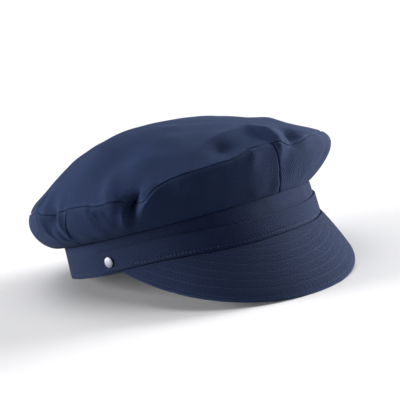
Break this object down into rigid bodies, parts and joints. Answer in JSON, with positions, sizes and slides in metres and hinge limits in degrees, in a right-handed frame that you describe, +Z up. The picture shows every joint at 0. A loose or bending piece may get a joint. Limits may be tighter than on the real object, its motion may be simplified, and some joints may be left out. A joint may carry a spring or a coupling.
{
  "type": "sailor cap",
  "caption": "Soft navy cotton sailor cap: domed crown of a round top and side quarters, upright head band, cloth strap with metal buttons and a stitched peak.",
  "frame": {"origin": "middle of the cap's box on the surface that it rests on", "axes": "+Z up from that surface, -Y towards the peak, -X towards the wearer's right"},
  "size_m": [0.217, 0.25, 0.1122],
  "materials": {
    "crown_cloth": "navy cotton twill, soft, matt",
    "band_cloth": "navy cotton twill, doubled, matt",
    "strap_cloth": "navy cotton twill, folded and topstitched",
    "peak_cloth": "navy cotton twill over a firm core, rows of stitching",
    "button_metal": "satin nickel"
  },
  "bodies": {
    "root": {"crown_top": "crown_cloth", "crown_front_right": "crown_cloth", "crown_front_left": "crown_cloth", "crown_back_right": "crown_cloth", "crown_back_left": "crown_cloth", "band": "band_cloth", "chin_strap": "strap_cloth", "peak": "peak_cloth", "rivet_right": "button_metal", "rivet_left": "button_metal"}
  },
  "joints": []
}
